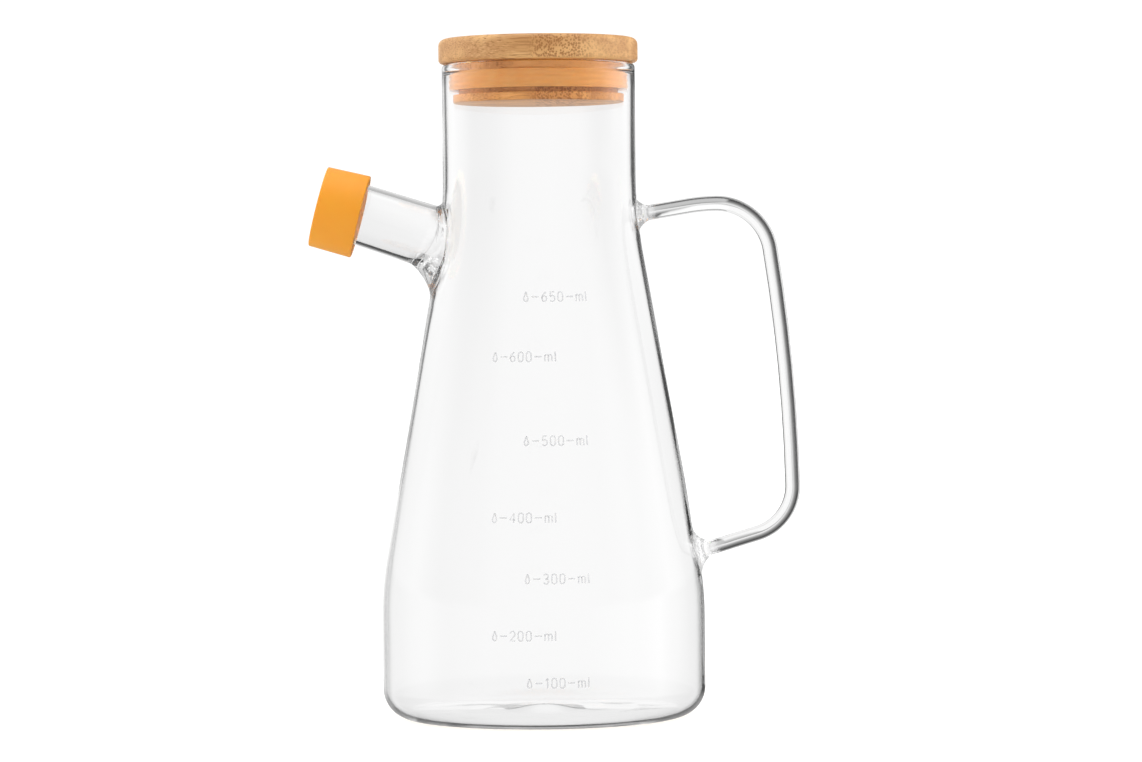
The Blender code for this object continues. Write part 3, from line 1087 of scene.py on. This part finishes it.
def bamboo():
    """Glued bamboo: long fibres in the left strip, and in the right one fibres cut across."""
    made, graph = material("bamboo")
    cut_across, clear = bamboo_areas(graph)
    dots = graph.times(fibre_ends(graph), graph.times(cut_across, clear))
    lengthwise = graph.object_point(GRAIN_TURN, (1 / FIBRE_STRETCH, 1, 1.3))
    threads = graph.noise(lengthwise, FIBRE_SCALE, detail=3.0, roughness=0.65)
    dashes = graph.times(graph.fade(threads, 0.5, 0.72), graph.mix(cut_across, 1.0, 0.25))
    shine = graph.times(graph.fade(threads, 0.46, 0.3), graph.mix(cut_across, 0.7, 0.2))
    tone = graph.noise(graph.object_point(GRAIN_TURN, (0.25, 1, 1)), TONE_SCALE)
    colour = graph.mix_colour(graph.fade(tone, 0.35, 0.65), BAMBOO_DEEP, BAMBOO_PALE)
    colour = graph.mix_colour(shine, colour, BAMBOO_WARM)
    colour = graph.mix_colour(graph.times(dashes, 0.95), colour, BAMBOO_DARK)
    colour = graph.mix_colour(graph.times(dots, 0.85), colour, BAMBOO_DARK)
    height = graph.math("MULTIPLY_ADD", graph.math("MAXIMUM", dots, dashes), -0.6, threads)
    inputs = {
        "Base Color": colour,
        "Roughness": graph.fade(threads, 0.2, 0.8, 0.42, 0.6),
        "IOR": 1.45,
        "Coat Weight": 0.15,
        "Coat Roughness": 0.3,
        "Normal": graph.bump(height, 0.2, 0.0001),
    }
    return surface(made, graph, inputs)


def clear_silicone():
    """Clear, faintly amber silicone."""
    made, graph = material("clear_silicone")
    cloud = graph.noise(graph.object_point(), 240.0)
    inputs = {
        "Base Color": graph.mix_colour(cloud, SEAL_DEEP, SEAL_PALE),
        "Roughness": graph.fade(cloud, 0.3, 0.7, 0.15, 0.25),
        "IOR": 1.41,
        "Transmission Weight": 0.3,
        "Normal": graph.bump(cloud, 0.1, 0.0002),
    }
    return surface(made, graph, inputs)


def orange_silicone():
    """Matte moulded silicone. Its colour is a painted white reflection: it turns white where the glass
    mirrors it.
    """
    made, graph = material("orange_silicone")
    painted_reflection_depth = graph.node("LightPath").outputs["Glossy Depth"]
    point = graph.object_point()
    cloud = graph.noise(point, 120.0)
    grit = graph.noise(point, 4200.0)
    colour = graph.mix_colour(cloud, CAP_DEEP, CAP_PALE)
    inputs = {
        # Painted reflection: white in place of the cap's colour for rays that have bounced off glass
        "Base Color": graph.mix_colour(graph.fade(painted_reflection_depth, 0.4, 0.6), colour, CAP_PAINTED_REFLECTION),
        "Roughness": graph.fade(grit, 0.3, 0.7, 0.46, 0.58),
        "IOR": 1.41,
        "Subsurface Weight": 0.25,
        "Subsurface Radius": (1.0, 0.4, 0.1),
        "Subsurface Scale": 0.0012,
        "Normal": graph.bump(grit, 0.12, 0.00005),
    }
    return surface(made, graph, inputs)


def print_paint():
    """Thin pale grey paint, a little worn."""
    made, graph = material("print_paint")
    wear = graph.noise(graph.object_point(), 900.0, detail=3.0)
    inputs = {
        "Base Color": graph.mix_colour(wear, PRINT_DEEP, PRINT_PALE),
        "Roughness": 0.6,
        "Alpha": graph.fade(wear, 0.25, 0.7, PRINT_ALPHA * 0.8, PRINT_ALPHA),
    }
    return surface(made, graph, inputs)


# Stage: floor, surroundings and camera

def light_round(graph, across, above, angle, curves, upright):
    """Light that depends on the angle off +Y, with one curve for each of four sides.

    above is the sine of the slope at which the ray leaves +Y. upright gives the values of it
    between which the side curves give way to those for up and down.
    """
    left, right, up, down = [graph.curve(angle, curve) for curve in curves]
    beside = graph.mix(graph.math("GREATER_THAN", across, 0.0), left, right)
    level = graph.mix(graph.math("GREATER_THAN", above, 0.0), down, up)
    return graph.mix(graph.fade(graph.math("ABSOLUTE", above), *upright), beside, level)


def off_axis(graph, azimuth, height):
    """How far a direction leaves +Y: to the side, upwards as a share, and in degrees."""
    azimuth = graph.math("RADIANS", azimuth)
    height = graph.math("RADIANS", height)
    level = graph.math("COSINE", height)
    ahead = graph.times(graph.math("COSINE", azimuth), level)
    across = graph.times(graph.math("SINE", azimuth), level)
    rise = graph.math("SINE", height)
    reach = graph.math("ADD", graph.math("POWER", across, 2.0), graph.math("POWER", rise, 2.0))
    above = graph.math("DIVIDE", rise, graph.math("MAXIMUM", graph.math("SQRT", reach), 0.0001))
    return across, above, graph.math("DEGREES", graph.math("ARCCOSINE", ahead))


def two_sided(graph, azimuth, left, right):
    """One curve for directions left of +Y and one for those right of it."""
    away = graph.math("ABSOLUTE", azimuth)
    rightward = graph.math("GREATER_THAN", azimuth, 0.0)
    return graph.mix(rightward, graph.curve(away, left), graph.curve(away, right))


def rod_light(graph, azimuth, height):
    """What solid glass shows. The curves serve each quarter, so it has dark lines all round."""
    quarter = graph.math("WRAP", graph.math("SUBTRACT", azimuth, HANDLE_AZIMUTH), 45.0, -45.0)
    sides = off_axis(graph, quarter, height)
    return light_round(graph, *sides, (ROD_LEFT, ROD_RIGHT, ROD_UP, ROD_DOWN), ROD_UPRIGHT)


def edge_light(graph, azimuth, height):
    """What an edge of the wall shows, with a finer line along the base."""
    across, above, angle = off_axis(graph, azimuth, height)
    curves = (EDGE_LEFT, EDGE_RIGHT, EDGE_UP, EDGE_DOWN)
    edge = light_round(graph, across, above, angle, curves, EDGE_UPRIGHT)
    return graph.mix(graph.fade(above, *BASE_UPRIGHT), edge, graph.curve(angle, EDGE_BASE))


def wall_light(graph, azimuth, height):
    """What two walls of the bottle show: a pale field, with a darker gap to each side.

    Fields and gaps follow each other all round, so each view has pale glass with a dark
    edge. The field behind the bottle is the photo's.
    """
    folded = graph.math("PINGPONG", azimuth, FIELD_SPACING / 2)
    field_end = FIELD_HALF_WIDTH + FIELD_EASE
    around = graph.fade(folded, FIELD_HALF_WIDTH, field_end, WALL_WHITE, GAP_LIGHT)
    beside = graph.fade(graph.math("ABSOLUTE", azimuth), *PHOTO_FIELD_EDGE)
    light = graph.mix(beside, two_sided(graph, azimuth, WALL_LEFT, WALL_RIGHT), around)
    return graph.times(light, graph.fade(height, *FAR_FLOOR, FAR_FLOOR_LIGHT, 1.0))


def inner_light(graph, height):
    """What the inside of the bottle mirrors: white, and greyer in the base."""
    low = graph.fade(height, *BASE_MIRRORED_LOW)
    high = graph.fade(height, *BASE_MIRRORED_HIGH)
    return graph.mix(graph.times(low, high), INNER_LIGHT, BASE_MIRRORED_LIGHT)


def refracted_light(graph, path, azimuth, narrowed, height):
    """Light that comes through a rod, through walls or along an edge of the glass."""
    thin = graph.math("LESS_THAN", path["Transmission Depth"], ROD_MOST_SURFACES)
    bent = graph.math("GREATER_THAN", path["Glossy Depth"], 0.5)
    few = graph.math("LESS_THAN", path["Glossy Depth"], EDGE_MOST_BOUNCES)
    straight = graph.mix(thin, wall_light(graph, azimuth, height), rod_light(graph, azimuth, height))
    light = graph.mix(bent, straight, inner_light(graph, height))
    at_edge = graph.times(graph.times(bent, few), thin)
    return graph.mix(at_edge, light, edge_light(graph, narrowed, height))


def mirrored_light(graph, azimuth, height):
    """Light that the outer surface of the glass mirrors."""
    light = two_sided(graph, azimuth, MIRRORED_LEFT, MIRRORED_RIGHT)
    return graph.mix(graph.fade(height, *MIRRORED_FLOOR), MIRRORED_BELOW, light)


def studio_light(graph, azimuth, height):
    """Two tall soft boxes beside the bottle, a pale wall behind it and light above it."""
    away = graph.math("ABSOLUTE", azimuth)
    box = graph.times(graph.fade(away, *BOX_NEAR_SIDE), graph.fade(away, *BOX_FAR_SIDE))
    side = graph.mix(graph.math("GREATER_THAN", azimuth, 0.0), LEFT_BOX_LIGHT, RIGHT_BOX_LIGHT)
    around = graph.mix(graph.fade(away, *FRONT_FADE), SCENE_WHITE, FRONT_LIGHT)
    around = graph.mix(box, around, side)
    overhead = graph.fade(height, *OVERHEAD_FADE, SLOPE_LIGHT, OVERHEAD_LIGHT)
    return graph.mix(graph.fade(height, *SLOPE_FADE), around, overhead)


def surroundings():
    """Light by direction, split by the kind of ray as a photographer's screens split it."""
    world = bpy.data.worlds.new("surroundings")
    bpy.context.scene.world = world
    world.use_nodes = True
    graph = Graph(world.node_tree)
    direction = graph.node("TexCoord").outputs["Generated"]
    parts = graph.node("SeparateXYZ", {0: direction}).outputs
    azimuth = graph.math("DEGREES", graph.math("ARCTAN2", parts[0], parts[1]))
    height = graph.math("DEGREES", graph.math("ARCSINE", parts[2]))
    narrowing = graph.fade(height, *CONE_HEIGHTS, 1.0, CONE_NARROWING)
    narrowed = graph.times(azimuth, narrowing)
    path = graph.node("LightPath").outputs
    refracted = refracted_light(graph, path, azimuth, narrowed, height)
    studio = studio_light(graph, azimuth, height)
    lit = graph.math("GREATER_THAN", path["Diffuse Depth"], 0.5)
    within = graph.math("GREATER_THAN", path["Transmission Depth"], 0.5)
    enclosed = graph.times(lit, within)
    light = graph.mix(path["Is Glossy Ray"], studio, mirrored_light(graph, narrowed, height))
    light = graph.mix(path["Is Transmission Ray"], light, refracted)
    light = graph.mix(lit, light, studio)
    light = graph.mix(path["Is Camera Ray"], light, SCENE_WHITE)
    light = graph.times(light, graph.mix(enclosed, 1.0, ENCLOSED_BOOST))
    tint = graph.mix_colour(enclosed, (1, 1, 1, 1), ENCLOSED_TINT)
    shader = graph.node("Background", {"Color": tint, "Strength": light}).outputs[0]
    graph.node("OutputWorld", {0: shader})


def floor():
    """A plain pale floor. What glass refracts or mirrors passes it, to the surroundings."""
    made, graph = material("pale_floor")
    fibres = graph.noise(graph.node("TexCoord").outputs["Object"], 30.0, detail=3.0)
    grain = graph.fade(fibres, 0.3, 0.7, FLOOR_PAPER * 0.97, FLOOR_PAPER)
    paper = graph.node("BsdfDiffuse", {"Color": grain}).outputs[0]
    path = graph.node("LightPath").outputs
    strength = graph.mix(path["Is Camera Ray"], FLOOR_BOUNCE, FLOOR_GLOW)
    glow = graph.node("Emission", {"Strength": strength}).outputs[0]
    seen = graph.node("AddShader", {0: glow, 1: paper}).outputs[0]
    clear = graph.node("BsdfTransparent").outputs[0]
    lit = graph.math("GREATER_THAN", path["Diffuse Depth"], 0.5)
    stops = graph.math("MAXIMUM", path["Is Camera Ray"], lit)
    graph.finish(graph.node("MixShader", {0: stops, 1: clear, 2: seen}).outputs[0])
    mesh = bpy.data.meshes.new("floor")
    corners = [(-1, -1), (1, -1), (1, 1), (-1, 1)]
    points = [(x * FLOOR_REACH, y * FLOOR_REACH, 0) for x, y in corners]
    mesh.from_pydata(points, [], [(0, 1, 2, 3)])
    mesh.materials.append(made)
    plane = bpy.data.objects.new("floor", mesh)
    plane.location.z = -FLOOR_DROP
    bpy.context.scene.collection.objects.link(plane)


def camera():
    data = bpy.data.cameras.new("camera")
    data.sensor_width = SENSOR
    data.lens = FOCAL_PIXELS / PICTURE_WIDTH * SENSOR
    data.clip_start = NEAREST
    data.clip_end = FARTHEST
    made = bpy.data.objects.new("camera", data)
    facing = Matrix.Rotation(pi / 2 - CAMERA_DROP, 4, "X") @ Matrix.Rotation(CAMERA_ROLL, 4, "Z")
    made.matrix_world = Matrix.Translation(CAMERA_PLACE) @ facing
    bpy.context.scene.collection.objects.link(made)
    bpy.context.scene.camera = made


def light_paths():
    """Enough bounces for light to pass through every wall of the glass."""
    cycles = bpy.context.scene.cycles
    cycles.max_bounces = 32
    cycles.transmission_bounces = 32
    cycles.glossy_bounces = 16
    cycles.transparent_max_bounces = 24
    bpy.context.scene.view_settings.view_transform = "Standard"


def main():
    camera()
    light_paths()
    surroundings()
    floor()
    glass_bottle()
    bamboo_lid()
    seal_ring()
    spout_cap()
    volume_print()


main()
